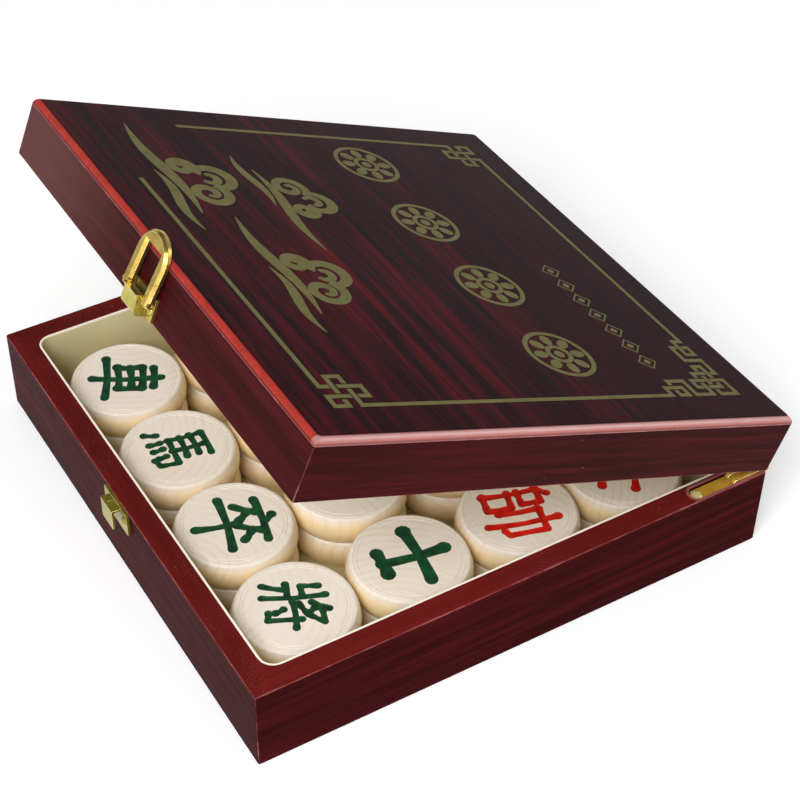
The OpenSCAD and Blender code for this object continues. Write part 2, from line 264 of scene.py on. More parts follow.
lacquer = {
    "dark": "#300b0c", "red": "#4c1317", "black": "#26090a", "rimRed": "#76201c", "rimDark": "#5a1c19",
    # sheen: a painted reflection, the pale greyed red at the left end of the lid's front
    "worn": "#b0706c", "sheen": "#9a6a67", "speck": "#c99d98", "peel": "#a85850", "roughness": 0.34,
    "baseSpecular": 0.005, "lidSpecular": 0.022, "wearWidth": 0.0005, "patchiness": 0.75, "slotWear": 0.0015,
    "streakAlong": 13.0, "streakAcross": 260.0, "streakUp": 286.0,
}


def lacquerFinish(name, alongX, onLid):
    look, (material, place) = lacquer, newFinish(name, onLid)
    along, across, up = look["streakAlong"], look["streakAcross"], look["streakUp"]
    grain = useGroup(woodGrain, {"Vector": place, "Stretch": (along, across, up) if alongX
                                 else (across, along, up)})
    x, y, z = xyz(place)
    low, high = (box["lidBottom"], box["boardTop"]) if onLid else (0.0, box["baseTop"])
    atRim = fade(abs(z - (low if onLid else high) * mm), 0.0001, 0.0006, 1.0, 0.0)
    speckle = fade(noise(place, 900.0, 3.0, 0.7), 0.3, 0.75, 0.8, 1.0)
    redder = grain["Streak"] * 0.5 + fade(x, 0.09, 0.112, 0.0, 0.3)
    peel = fade(noise(place, 1300.0, 2.0, 0.8), 0.56, 0.7) * fade(noise(place, 38.0, 2.0), 0.5, 0.62)
    colour = over(mix(grain["Streak"], look["dark"], look["red"]),
                  (grain["Fine"] * 0.34, look["black"]), (grain["Broad"] * 0.5, look["dark"]),
                  (atRim * speckle, mix(redder, look["rimDark"], look["rimRed"])),
                  (peel * atRim * 0.45, look["peel"]))
    # painted reflection: the left end of the lid's front is painted paler, in place of the backdrop mirrored in the
    # lacquer
    if onLid and alongX:    # the left end of the lid's front is paler
        sheen = fade(x, -0.005, -0.1, 0.0, 0.24) * fade(y, -0.1, -0.112)
        colour = mix(sheen, colour, look["sheen"])
    width = look["wearWidth"]
    if not onLid:    # the base's rim is worn more near the hinges
        width = (fade(y, 0.05, 0.1) * atRim * 1.6 + 1.0) * width
    worn = useGroup(edgeWear, {
        "Vector": vector("SUBTRACT", place, (0, 0, (low + high) / 2 * mm)), "Width": width,
        "Half Size": (box["width"] / 2 * mm, box["depth"] / 2 * mm, (high - low) / 2 * mm),
        "Patchiness": look["patchiness"]})["Mask"]
    slot = useGroup(slotEdge, {
        "Vector": place, "Slot X": box["slotX"] * mm, "Round Y": slotRoundY * mm,
        "Radius": box["slotWidth"] / 2 * mm, "Width": look["slotWear"]})["Mask"]
    worn = larger(worn * fade(z, 0.0008, 0.003, 0.15, 1.0), slot * atRim)
    colour = over(colour, (worn * 0.6, look["worn"]), (specks(place, 95.0, 0.035) * 0.6, look["speck"]))
    rough = noise(place, 60.0) * 0.16 + (look["roughness"] - 0.08) + worn * 0.25
    return complete(material, colour, rough, grain["Fine"] * 0.6 + noise(place, 500.0, 2.0) * 0.5, 0.00006,
                    look["lidSpecular" if onLid else "baseSpecular"])


topBoard = {
    "edgeRadius": 2.8, "land": 0.2, "cornerGrowth": 0.3, "arcSteps": 7, "cornerSteps": 8,
    "dark": "#1f080e", "red": "#62101a", "black": "#12090d", "edgeRed": "#b13b30", "edgeDeep": "#7f2420",
    # edgePale is a painted highlight on the right round-over; edgeFoot is painted shade on the lower, side-facing part
    # of the round-over
    "edgePale": "#bb928e", "edgeFoot": "#4a1213", "lineWorn": "#b9716c",
    "roughness": 0.3, "specular": 0.015, "coatRoughness": 0.26,
}


def topFinish():
    look, (material, place) = topBoard, newFinish("topLacquer", True)
    grain = useGroup(woodGrain, {"Vector": place, "Stretch": (13, 210, 210)})
    x, y, z = xyz(place)

    def below(near, far, start=0.0, end=1.0):    # by the depth under the top face, in millimetres
        return fade(z, (box["boardTop"] - near) * mm, (box["boardTop"] - far) * mm, start, end)

    bands = fade(noise(vector("MULTIPLY", place, (5, 42, 5)), 1.0, 2.0), 0.38, 0.62)
    front = fade(y, 0.1, -0.05) * fade(x, 0.14, 0.02, 0.55, 1.0) * bands
    edge, mottle, right = below(0.04, 0.3), noise(place, 130.0, 4.0, 0.6), box["width"] / 2
    # rightEdge: the upper part of the right round-over, which gets the painted highlight and a coat
    rightEdge = below(2.2, 0.9, 0.3, 1.0) * fade(x, (right - 3.1) * mm, (right - 2.4) * mm)
    grit = fade(noise(place, 620.0, 4.0, 0.75), 0.42, 0.68)
    edgeColour = mix(0.35, look["edgeRed"], mix(fade(mottle, 0.35, 0.65), look["edgeRed"], look["edgeDeep"]))
    # painted shade darkens the round-over's lower part, and a painted highlight lightens the right round-over
    edgeColour = over(edgeColour, (grit * 0.4, look["edgeDeep"]), (below(1.7, 2.3) * 0.8, look["edgeFoot"]),
                      (rightEdge * fade(mottle, 0.2, 0.7, 0.55, 0.75), look["edgePale"]))
    seam = fade(z - box["lidRailTop"] * mm, 0.00012, 0.0005, 1.0, 0.0)
    chips = fade(noise(place, 75.0, 5.0, 0.75), 0.5, 0.6)
    colour = over(mix(grain["Streak"] * (front * 0.68 + 0.16), look["dark"], look["red"]),
                  (grain["Fine"] * 0.55, look["black"]), (grain["Broad"] * 0.5, look["dark"]),
                  (edge, edgeColour), (seam * (chips * 0.65 + 0.35), look["lineWorn"]),
                  (specks(place, 60.0, 0.02) * 0.45, lacquer["speck"]))
    return complete(material, colour, noise(place, 45.0) * 0.12 + (look["roughness"] - 0.06),
                    grain["Fine"] * 0.5 + noise(place, 420.0, 2.0) * 0.5, 0.00005, look["specular"],
                    {"Coat Roughness": look["coatRoughness"], "Coat Weight": edge * (rightEdge * 0.75 + 0.25)})


brass = {
    "tarnish": "#6b5526", "roughness": 0.21, "specular": 0.1, "bevel": 0.28, "bevelSteps": 2, "bevelFrom": 36,
    "smooth": 40,
    "finishes": [    # whether on the lid, first and second colour, share of metal
        ("brassBase", False, "#a99f3e", "#857a30", 0.7), ("brassLid", True, "#c6b65e", "#9a8840", 0.86),
        # the edge finishes are pale: partly polished brass, partly a painted highlight
        ("brassBaseEdge", False, "#f4eab6", "#cdb566", 0.86), ("brassLidEdge", True, "#f4eab6", "#cdb566", 0.86),
        ("brassHinge", False, "#dcae40", "#b88f30", 0.25), ("brassLoop", True, "#bba04f", "#8f7637", 0.9),
        ("brassScrew", False, "#f4eab6", "#cdb566", 0.4)],
}


def brassFinish(name, onLid, first, second, metal):
    material, place = newFinish(name, onLid)
    spots = fade(noise(place, 650.0, 3.0, 0.7), 0.6, 0.72)
    colour = over(mix(fade(noise(place, 120.0, 4.0, 0.6), 0.3, 0.72), first, second),
                  (spots * 0.35, brass["tarnish"]))
    rolled = noise(place, 420.0, 2.0)
    return complete(material, colour, rolled * 0.14 + (brass["roughness"] - 0.07) + spots * 0.15, rolled, 0.00003,
                    brass["specular"], {"Metallic": metal})


discWood = {
    # side: the warmer, slightly darker tone of a disc's side, partly the wood's own and partly painted shade and warm
    # bounced light
    "pale": "#f4ebe0", "late": "#e2cbab", "pink": "#eed6c4", "side": "#f9dfae", "knot": "#cfa274",
    "roughness": 0.5, "specular": 0.35, "ringPitch": 0.0034,
}


def discFinish():
    # rings round the log that each disc was cut from, by the place that each point had in it
    look, (material, place) = discWood, newFinish("turnedWood")
    log = wire(place.tree, "ShaderNodeAttribute", out="Vector", attribute_name="logPlace")
    onTop = wire(place.tree, "ShaderNodeAttribute", out="Fac", attribute_name="faceUp")
    bent = vector("MULTIPLY", noise(log, 22.0, 2.0, 0.5, "Color"), (0.01, 0.01, 0.01))
    x, y, _ = xyz(vector("ADD", log, bent))
    wave = maths("SINE", maths("SQRT", x * x + y * y) * (2 * pi / look["ringPitch"]))
    late = fade(wave, 0.1, 1.0) * fade(noise(log, 55.0), 0.3, 0.7)
    fibre = noise(vector("MULTIPLY", log, (900, 900, 60)), 1.0, 3.0, 0.6)
    # under the pale top the colour turns to the side tone, partly the wood's own and partly painted shade and warm
    # bounced light, so the side is darker and warmer below the top
    colour = over(mix(onTop, look["side"], look["pale"]),
                  (fade(noise(log, 30.0, 2.0), 0.45, 0.75) * 0.3, look["pink"]), (late * 0.3, look["late"]),
                  (fade(fibre, 0.5, 0.8) * 0.16, look["knot"]), (specks(log, 70.0, 0.05) * 0.5, look["knot"]))
    return complete(material, colour, fibre * 0.14 + (look["roughness"] - 0.06), fibre * 0.6 + late * 0.5, 0.00008,
                    look["specular"])


markPaint = {"green": ("#17502f", "#0d3324"), "red": ("#dc2418", "#b3170f"), "roughness": 0.16,
             "specular": 0.2, "ripple": 0.00012}


def paintFinish(name, first, second):
    material, place = newFinish(name)
    pool = noise(place, 260.0)
    return complete(material, mix(fade(pool, 0.35, 0.7), first, second),
                    pool * 0.12 + (markPaint["roughness"] - 0.05), noise(place, 420.0, 2.0), markPaint["ripple"],
                    markPaint["specular"])


# cut: painted light, the near-white cut edge of the paper along the rim
paper = {"cream": "#d6cca2", "shade": "#c0b27c", "cut": "#fff3e6", "roughness": 0.62, "specular": 0.25}


def paperFinish(name, onLid):
    # cream paper, with painted light along its cut edge at the rim, near white so that it shows lit under the lid's
    # shadow
    material, place = newFinish(name, onLid)
    rimZ = box["lidBottom"] if onLid else box["baseTop"]
    cut = fade(abs(xyz(place)[2] - rimZ * mm), 0.0003, 0.0009, 1.0, 0.0)
    fibre, cloud = noise(place, 1500.0, 4.0, 0.7), noise(place, 25.0)
    colour = over(mix(fade(cloud, 0.3, 0.75, 0.0, 0.6), paper["cream"], paper["shade"]),
                  (fade(fibre, 0.5, 0.8) * 0.18, paper["shade"]), (cut, paper["cut"]))
    return complete(material, colour, fibre * 0.2 + paper["roughness"], fibre + cloud * 0.5, 0.00008,
                    paper["specular"])


floorBoard = {"brown": "#7a4a30", "light": "#9a6846", "pore": "#5c3421", "roughness": 0.6, "specular": 0.5}


def boardFinish():
    material, place = newFinish("floorBoard")
    grain = useGroup(woodGrain, {"Vector": place, "Stretch": (14, 160, 160)})
    colour = over(mix(grain["Streak"], floorBoard["brown"], floorBoard["light"]),
                  (grain["Fine"] * 0.4, floorBoard["pore"]))
    return complete(material, colour, grain["Fine"] * 0.2 + floorBoard["roughness"], grain["Fine"], 0.0001,
                    floorBoard["specular"])


printInk = {"gold": "#6c683e", "dull": "#514e31", "thickness": 0.05, "lineWidth": 2.0, "sunk": 0.01,
            "roughness": 0.42, "metal": 0.1, "specular": 0.05}


def inkFinish():
    material, place = newFinish("printInk", True)
    wear = noise(place, 240.0, 5.0, 0.7)
    return complete(material, mix(fade(wear, 0.42, 0.75, 0.0, 0.5), printInk["gold"], printInk["dull"]),
                    wear * 0.15 + printInk["roughness"], noise(place, 900.0, 2.0), 0.00003,
                    printInk["specular"], {"Metallic": printInk["metal"]})


finishes = {
    **{body + way: lacquerFinish(body + word, way == "X", body == "lid") for body in ("base", "lid")
       for way, word in (("X", "LacquerAcross"), ("Y", "LacquerDeep"))},
    "top": topFinish(),
    **{settings[0]: brassFinish(*settings) for settings in brass["finishes"]},
    "disc": discFinish(),
    "green": paintFinish("greenPaint", *markPaint["green"]),
    "red": paintFinish("redPaint", *markPaint["red"]),
    "liner": paperFinish("creamLiner", False),
    "lidLiner": paperFinish("creamLidLiner", True),
    "board": boardFinish(),
    "ink": inkFinish(),
}
print("stage: finishes made")

for names, finish in [
        ("base_liner base_floor_lining", "liner"), ("lid_lining", "lidLiner"), ("base_floor_panel", "board"),
        ("hinge_base_screws", "brassScrew"), ("hinge_pin_left hinge_pin_right latch_keeper_nails", "brassBase"),
        ("hinge_lid_screws latch_bracket_nails latch_pin", "brassLid")]:
    for name in names.split():
        nodes[name].data.materials.clear()
        nodes[name].data.materials.append(finishes[finish])


# Helpers for meshes

def newObject(name, data):
    made = bpy.data.objects.new(name, data)
    bpy.context.scene.collection.objects.link(made)
    return made


def around(x, y, radius, turn):
    return x + radius * cos(turn), y + radius * sin(turn)


def makeMesh(name, points, faces, materials=(), slots=None, edges=()):
    # points in millimetres
    mesh = bpy.data.meshes.new(name)
    mesh.from_pydata([tuple(v * mm for v in point) for point in points], edges, faces)
    for material in materials:
        mesh.materials.append(material)
    if slots:
        mesh.polygons.foreach_set("material_index", slots)
    mesh.update()
    return newObject(name, mesh)


def plainMesh(piece):
    # the evaluated object as a plain mesh
    graph = bpy.context.evaluated_depsgraph_get()
    graph.update()
    return bpy.data.meshes.new_from_object(piece.evaluated_get(graph), preserve_all_data_layers=True,
                                           depsgraph=graph)


def applyAll(piece):
    plain, old = plainMesh(piece), piece.data
    piece.modifiers.clear()
    piece.data = plain
    plain.name = piece.name
    if old.users == 0:
        bpy.data.meshes.remove(old)


def smoothen(piece, angle):
    piece.data.polygons.foreach_set("use_smooth", [True] * len(piece.data.polygons))
    piece.data.set_sharp_from_angle(angle=radians(angle))
    modifier = piece.modifiers.new("evenShade", "WEIGHTED_NORMAL")
    modifier.keep_sharp = True
    modifier.weight = 80


def grow(piece, tree, values):
    # gives the piece a geometry nodes tree and sets its inputs by name
    modifier = piece.modifiers.new(tree.name, "NODES")
    modifier.node_group = tree
    names = {item.name: item.identifier for item in tree.interface.items_tree if item.in_out == "INPUT"}
    for key, value in values.items():
        modifier[names[key]] = value


def seat(piece, body, stands, smoothAngle=None, pose=None):
    # the last steps of every piece: even shading, a plain mesh, its place, its body, and the nodes that it stands for
    # hidden
    if smoothAngle:
        smoothen(piece, smoothAngle)
    applyAll(piece)
    if pose:
        piece.data.transform(pose)
    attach(piece, body)
    if stands:
        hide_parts(*stands)


# Brass: the sheet parts with their edges broken; the broken edges get a paler finish, partly polished brass and partly
# a painted highlight

brassParts = [    # nodes, body, finish of the sheet and finish of its broken edges
    ("latch_loop", "loop", "brassLoop", "brassLidEdge"),
    ("latch_bracket hinge_lid_leaf_left hinge_lid_leaf_right", "lid", "brassLid", "brassLidEdge"),
    ("latch_keeper", "base", "brassBase", "brassBaseEdge"),
    ("hinge_base_leaf_left hinge_base_leaf_right", "base", "brassHinge", "brassBaseEdge"),
]


def makeBrass(node, body, *looks):
    first, *others = node.split("_")
    name = first + "".join(part.capitalize() for part in others)
    mesh = nodes[node].data.copy()
    mesh.name = name
    mesh.transform(nodes[node].matrix_world)
    mesh.materials.clear()
    for finish in looks:
        mesh.materials.append(finishes[finish])
    work = bmesh.new()
    work.from_mesh(mesh)
    bmesh.ops.remove_doubles(work, verts=work.verts, dist=0.000002)
    bmesh.ops.dissolve_limit(work, angle_limit=radians(1), verts=work.verts, edges=work.edges)
    work.to_mesh(mesh)
    work.free()
    piece = newObject(name, mesh)
    modifier = piece.modifiers.new("brokenEdges", "BEVEL")
    modifier.width, modifier.segments, modifier.limit_method = brass["bevel"] * mm, brass["bevelSteps"], "ANGLE"
    modifier.angle_limit, modifier.material, modifier.harden_normals = radians(brass["bevelFrom"]), 1, False
    modifier.use_clamp_overlap = True
    seat(piece, body, [node], brass["smooth"])


for names, *settings in brassParts:
    for node in names.split():
        makeBrass(node, *settings)
print("stage: brass made")


# Rails: one profile carried round the box, cut at the mitres

rails = {"cornerSteps": 4, "rimRound": 0.45, "footRound": 0.5, "ledge": 4.0, "ledgeTop": 2.6,
         "ledgeRadius": 0.05, "smooth": 35, "slotSteps": 24, "cutPast": 5}


def ringPoint(corner, step, steps, inset, radius):
    sideX, sideY = [(1, -1), (1, 1), (-1, 1), (-1, -1)][corner]
    return around(sideX * (box["width"] / 2 - inset - radius), sideY * (box["depth"] / 2 - inset - radius), radius,
                  radians(corner * 90 - 90 + 90 * step / steps))


def ringPoints(stations, steps, profile):
    # the profile's points, each with its inset, height and corner radius, at every station round the box
    return [(*ringPoint(corner, step, steps, inset, radius), z) for corner, step in stations
            for inset, z, radius in profile]


def bands(total, count, closed):
    # faces between neighbouring stations: round the whole box, or round each section of one rail
    return [(s * count + p, (s + 1) % total * count + p, (s + 1) % total * count + (p + 1) % count,
             s * count + (p + 1) % count) for s in range(total - (not closed)) for p in range(count - closed)]


def railProfile(low, high, roundLow, roundHigh, ledge):
    # points of the section, each with the radius of the box's corner there
    wall, inner, outer, soft = box["wall"], box["innerRadius"], box["outerRadius"], 0.29
    points = [(roundLow, low), (roundLow * soft, low + roundLow * soft), (0, low + roundLow), (0, high - roundHigh)]
    if roundHigh:
        points += [(roundHigh * soft, high - roundHigh * soft), (roundHigh, high)]
    profile = [(inset, z, outer + (inner - outer) * (inset / wall)) for inset, z in points]
    profile.append((wall, high, inner))
    if ledge:
        shelf, thin = low + rails["ledgeTop"], wall - rails["ledge"]
        return profile + [(wall, shelf, inner), (thin, shelf, rails["ledgeRadius"]), (thin, low, rails["ledgeRadius"])]
    return profile + [(wall, low, inner)]


def makeRail(name, side, profile, material):
    # side 0 is the front, 1 the right, 2 the back and 3 the left
    steps, count = rails["cornerSteps"], len(profile)
    first, second = (side + 3) % 4, side
    stations = [(first, s) for s in range(steps // 2, steps + 1)] + [(second, s) for s in range(steps // 2 + 1)]
    points, faces = ringPoints(stations, steps, profile), bands(len(stations), count, False)
    faces += [tuple(range(count)), tuple(range(len(points) - 1, len(points) - 1 - count, -1))]
    return makeMesh(name, points, faces, [material])


def cutSlots(piece, z0, z1):
    # takes both round-ended hinge slots out of the piece; they run out through the rear face
    radius, points, faces, steps = box["slotWidth"] / 2, [], [], rails["slotSteps"]
    rear = box["depth"] / 2 + rails["cutPast"]
    for x0 in (-box["slotX"], box["slotX"]):
        outline = [(x0 + radius, rear), (x0 - radius, rear)]
        outline += [around(x0, slotRoundY, radius, pi + pi * i / steps) for i in range(steps + 1)]
        n, start = len(outline), len(points)
        points += [(x, y, z) for z in (z0, z1) for x, y in outline]
        faces.append(tuple(start + i for i in reversed(range(n))))
        faces.append(tuple(start + n + i for i in range(n)))
        faces += [(start + i, start + (i + 1) % n, start + n + (i + 1) % n, start + n + i) for i in range(n)]
    cutter = makeMesh("slotCutter", points, faces)
    modifier = piece.modifiers.new("slots", "BOOLEAN")
    modifier.operation, modifier.solver, modifier.object = "DIFFERENCE", "EXACT", cutter
    applyAll(piece)
    bpy.data.objects.remove(cutter)


def makeFrames():
    rim, foot, past = box["baseTop"], box["lidBottom"], rails["cutPast"]
    parts = {    # section, ends of the hinge slots and pose
        "base": (railProfile(0, rim, rails["footRound"], rails["rimRound"], True),
                 (rim - box["slotDepth"], rim + past), None),
        "lid": (railProfile(foot, box["lidRailTop"], rails["rimRound"], 0.0, False),
                (foot - past, foot + box["slotDepth"]), lidPose),
    }
    for side, word in enumerate(("front", "right", "back", "left")):
        for body, (profile, slots, pose) in parts.items():
            finish = finishes[body + ("Y" if side % 2 else "X")]
            piece = makeRail(f"{word}{body.capitalize()}Rail", side, profile, finish)
            if side:
                cutSlots(piece, *slots)
            seat(piece, body, [f"{body}_{word}_rail"], rails["smooth"], pose)


def makeTopBoard():
    steps, low, radius = topBoard["cornerSteps"], box["lidRailTop"], topBoard["edgeRadius"]
    section = [(0, low), (0, low + topBoard["land"])]
    for i in range(1, topBoard["arcSteps"] + 1):
        turn = pi / 2 * i / topBoard["arcSteps"]
        section.append((radius * (1 - cos(turn)), low + topBoard["land"] + radius * sin(turn)))
    profile = [(inset, z, box["outerRadius"] + topBoard["cornerGrowth"] * inset) for inset, z in section]
    stations = [(corner, step) for corner in range(4) for step in range(steps + 1)]
    count, total = len(profile), len(stations)
    faces = bands(total, count, True)
    faces += [tuple(s * count for s in reversed(range(total))), tuple(s * count + count - 1 for s in range(total))]
    piece = makeMesh("topBoard", ringPoints(stations, steps, profile), faces, [finishes["top"]])
    seat(piece, "lid", ["lid_top_panel"], rails["smooth"], lidPose)


makeFrames()
makeTopBoard()
print("stage: rails and top board made")


# Discs

disc = {
    "radius": 24.8, "height": 13.5, "swell": 1.3, "edge": 1.4, "patch": 18.6,
    "ring": 19.9, "ringGap": 1.3, "ringWidth": 0.5, "ringDepth": 0.3, "segments": 96,
    "edgeSteps": 6, "sideSteps": 10, "smooth": 42,
    "pitch": 49.8, "firstX": -71.6, "firstY": -77.9, "floorZ": 3.0, "paleSpan": 3.8, "paleAbove": 4.2,
    "markSize": 31.0, "markReach": 17.9, "stroke": 11.0, "cutDepth": 0.5, "cutSlope": 0.42, "capSteps": 5,
    "headTurn": 60, "headSwing": (-14, 14), "ringShift": (-0.35, 0.5), "gapShift": (-0.15, 0.25),
    "logTilt": (-0.5, 0.5), "logX": (-0.03, 0.03), "logY": (0.006, 0.05), "logZ": (0, 5),
}

# Each mark is a list of strokes on a square of 100 by 100, y up, in plain block strokes
marks = {
    "rook": "30,88 70,88|28,72 72,72|28,72 28,38|72,72 72,38|28,55 72,55|28,38 72,38|8,20 92,20|50,99 50,1",
    "horse": "28,94 28,40|28,94 78,94|54,94 54,40|28,76 74,76|28,58 74,58|28,40 84,40 82,12 68,8|12,26 6,8|"
             "30,26 30,10|46,26 48,10|62,26 66,14",
    "elephant": "40,99 24,84|38,92 62,92 56,82|22,80 78,80|22,80 26,62|78,80 74,62|50,80 50,62|26,62 74,62|"
                "46,62 30,48 12,40|40,52 54,38 56,12 46,2 34,8|48,40 32,28 12,22|54,26 38,14 16,4|82,58 60,44|"
                "58,44 72,22 94,8",
    "general": "30,98 30,2|12,88 12,62 30,62|6,40 30,40|16,40 6,6|58,99 44,76|56,90 84,90 68,66 44,54|"
               "58,78 64,72|40,46 94,46|76,58 76,6 62,10|54,32 62,20",
    "guard": "6,60 94,60|50,96 50,15|31,15 69,15",
    "cannon": "6,88 44,88|26,88 20,62 4,42|16,52 40,52|16,52 16,16|40,52 40,16|16,16 40,16|62,98 48,70|"
              "58,84 92,84 90,44 78,38|58,66 76,66 76,50 58,50|58,66 56,18 66,8 90,8 94,22",
    "soldier": "46,99 54,90|14,84 86,84|36,80 20,54|34,70 46,58|70,80 54,54|66,70 82,56|6,38 94,38|50,52 50,1",
    "marshal": "26,99 16,88|14,86 14,8|14,86 40,86 40,58 14,58|14,44 42,44 42,10 14,10|52,76 52,20|"
               "52,76 92,76 92,24 82,20|72,99 72,1",
    "redGuard": "30,98 8,58|21,74 21,2|38,64 96,64|67,94 67,14|46,14 90,14",
    "minister": "4,72 46,72|25,98 25,2|24,66 6,34|26,62 44,42|56,88 56,8|56,88 92,88 92,8|56,8 92,8|56,61 92,61|"
                "56,34 92,34",
    "redRook": "26,98 6,60|18,74 18,2|44,88 84,88|42,72 86,72|42,72 42,38|86,72 86,38|42,55 86,55|42,38 86,38|"
               "32,20 96,20|64,99 64,1",
    "redHorse": "26,98 6,60|18,74 18,2|44,92 44,42|44,92 86,92|64,92 64,42|44,75 84,75|44,58 84,58|"
                "44,42 90,42 88,12 78,8|34,26 30,10|48,26 48,12|61,26 63,12|74,26 77,15",
    "redCannon": "12,76 6,56|42,78 36,60|26,98 26,58 6,6|26,48 44,20|64,98 50,70|60,84 94,84 92,44 80,38|"
                 "60,66 78,66 78,50 60,50|60,66 58,18 68,8 90,8 95,22",
    "pawn": "66,99 34,88|34,90 34,48|34,72 78,72|62,72 62,48|6,46 94,46|36,34 14,8|64,34 86,8",
}
hand = {    # how a stroke is drawn: its unevenness, slant and bow, its broad ends and thin middle
    "waver": 1.3, "slant": 0.05, "bow": 0.035, "tip": 2.4, "tipShare": 0.3,
    "start": 1.24, "neck": 0.98, "waist": 0.82, "end": 1.18, "thinnest": 0.92, "broadest": 1.08,
}
heavy = {"guard": 16.0, "pawn": 13.0, "soldier": 11.5, "redGuard": 13.0, "rook": 11.5, "redHorse": 10.0}
layout = {    # from the latch side, each row from the left
    "low": ["guard soldier rook soldier", "pawn soldier redGuard pawn", "redCannon pawn soldier redCannon",
            "redHorse minister redRook pawn"],
    "top": ["rook horse soldier general", "cannon elephant horse guard", "elephant pawn cannon marshal",
            "redRook redHorse minister redGuard"],
}
greens = {"rook", "horse", "elephant", "general", "guard", "cannon", "soldier"}
heads = {    # how far a mark's head is turned, where the photograph shows it
    "top_r1c1": 62, "top_r1c2": 80, "top_r1c3": 74, "top_r1c4": 66, "top_r2c4": 80, "top_r3c4": 74, "top_r4c4": 60}


def finishTree(shape, finish, out):
    tree = shape.tree
    real = wire(tree, "GeometryNodeRealizeInstances", {"Geometry": shape})
    flat = wire(tree, "GeometryNodeSetShadeSmooth", {"Geometry": real, "Shade Smooth": False})
    plug(out, {"Geometry": wire(tree, "GeometryNodeSetMaterial", {"Geometry": flat, "Material": finish})})
    return tree


def turnedTree():
    # a profile turned round the z axis: point for point, so that its corners stay where they are
    tree, given, out = newTree("Geometry", "turnedDisc", {
        "Profile": "Geometry", "Segments": "Int", "Profile Points": "Int", "Finish": "Material"},
        {"Geometry": "Geometry"})
    segments, count = given["Segments"], given["Profile Points"]
    grid = wire(tree, "GeometryNodeMeshGrid", {"Size X": 1.0, "Size Y": 1.0, "Vertices X": segments + 1.0,
                                               "Vertices Y": count})
    index = wire(tree, "GeometryNodeInputIndex")
    column = maths("FLOOR", (index + 0.5) / count)
    x, y, z = xyz(wire(tree, "GeometryNodeSampleIndex", {
        "Geometry": given["Profile"], "Value": wire(tree, "GeometryNodeInputPosition"),
        "Index": index - column * count}, data_type="FLOAT_VECTOR", domain="POINT"))
    turn = column / segments * (2 * pi)
    point = combine(x * maths("COSINE", turn), x * maths("SINE", turn), z)
    moved = wire(tree, "GeometryNodeSetPosition", {"Geometry": grid, "Position": point})
    merged = wire(tree, "GeometryNodeMergeByDistance", {"Geometry": moved, "Distance": 0.000001})
    return finishTree(merged, given["Finish"], out)


def discProfile(ring, gap):
    # half section from the rim of the marked patch, over two fine rings, round the side and to the middle below
    top, edge, steps = disc["height"], disc["edge"], disc["edgeSteps"]
    side, middle = disc["radius"] - disc["swell"], disc["height"] / 2
    points = [(disc["patch"], top)]
    width, low = disc["ringWidth"] / 2, top - disc["ringDepth"]
    for centre in (ring, ring + gap):
        points += [(centre - width, top), (centre - width * 0.35, low), (centre + width * 0.35, low),
                   (centre + width, top)]
    turns = [pi / 2 * i / steps for i in range(steps + 1)]
    points += [(side - edge + edge * sin(turn), top - edge + edge * cos(turn)) for turn in turns]
    half = middle - edge
    sideRadius = (disc["swell"] ** 2 + half ** 2) / (2 * disc["swell"])
    for i in range(1, disc["sideSteps"]):
        z = half - 2 * half * i / disc["sideSteps"]
        points.append((disc["radius"] - sideRadius + sqrt(sideRadius ** 2 - z * z), middle + z))
    points += [(side - edge + edge * cos(turn), edge - edge * sin(turn)) for turn in turns]
    return points + [(0.0, 0.0)]


def strokes(written):
    return [[tuple(float(v) for v in pair.split(",")) for pair in line.split()] for line in written.split("|")]


def strokeParts(word, head):
    # each piece of a stroke as two ends with their half widths, in millimetres about the disc's middle:
    # a stroke starts broad, thins out along its way and spreads again at its end
    scale, turn = disc["markSize"] / 100, radians(head - 90)
    width, parts = heavy.get(word, disc["stroke"]) * scale / 2, []
    chance = random.Random(word)
    for stroke in strokes(marks[word]):
        ends = []
        for place in stroke:
            x, y = (v + chance.uniform(-hand["waver"], hand["waver"]) for v in place)
            x, y = (x - 50) * scale, (y - 50 + (x - 50) * hand["slant"]) * scale
            ends.append((x * cos(turn) - y * sin(turn), x * sin(turn) + y * cos(turn)))
        count = len(ends) - 1
        for i in range(count):
            (ax, ay), (bx, by) = ends[i], ends[i + 1]
            length = dist((ax, ay), (bx, by))
            bow = hand["bow"] * length if count == 1 else 0.0
            across = (-(by - ay) / length * bow, (bx - ax) / length * bow)
            tip = min(hand["tipShare"], hand["tip"] / length)
            wide = [hand["start"] if i == 0 else 1.0, hand["neck"], hand["waist"], hand["neck"],
                    hand["end"] if i == count - 1 else 1.0]
            wide = [w * chance.uniform(hand["thinnest"], hand["broadest"]) for w in wide]
            chain = [(ax + (bx - ax) * t + across[0] * 4 * t * (1 - t),
                      ay + (by - ay) * t + across[1] * 4 * t * (1 - t)) for t in (0.0, tip, 0.5, 1 - tip, 1.0)]
            for k in range(4):
                parts.append((chain[k], chain[k + 1], width * wide[k], width * wide[k + 1]))
    reach = max(hypot(*end) + wide for a, b, wa, wb in parts for end, wide in ((a, wa), (b, wb)))
    fit = min(1.0, disc["markReach"] / reach)
    return [((a[0] * fit, a[1] * fit), (b[0] * fit, b[1] * fit), wa * fit, wb * fit) for a, b, wa, wb in parts]


def capsule(part, shrink):
    (ax, ay), (bx, by), ra, rb = part
    heading, outline, steps = atan2(by - ay, bx - ax), [], disc["capSteps"]
    for x, y, radius, start in ((ax, ay, ra - shrink, pi / 2), (bx, by, rb - shrink, -pi / 2)):
        outline += [around(x, y, radius, heading + start + pi * i / steps) for i in range(steps + 1)]
    return outline


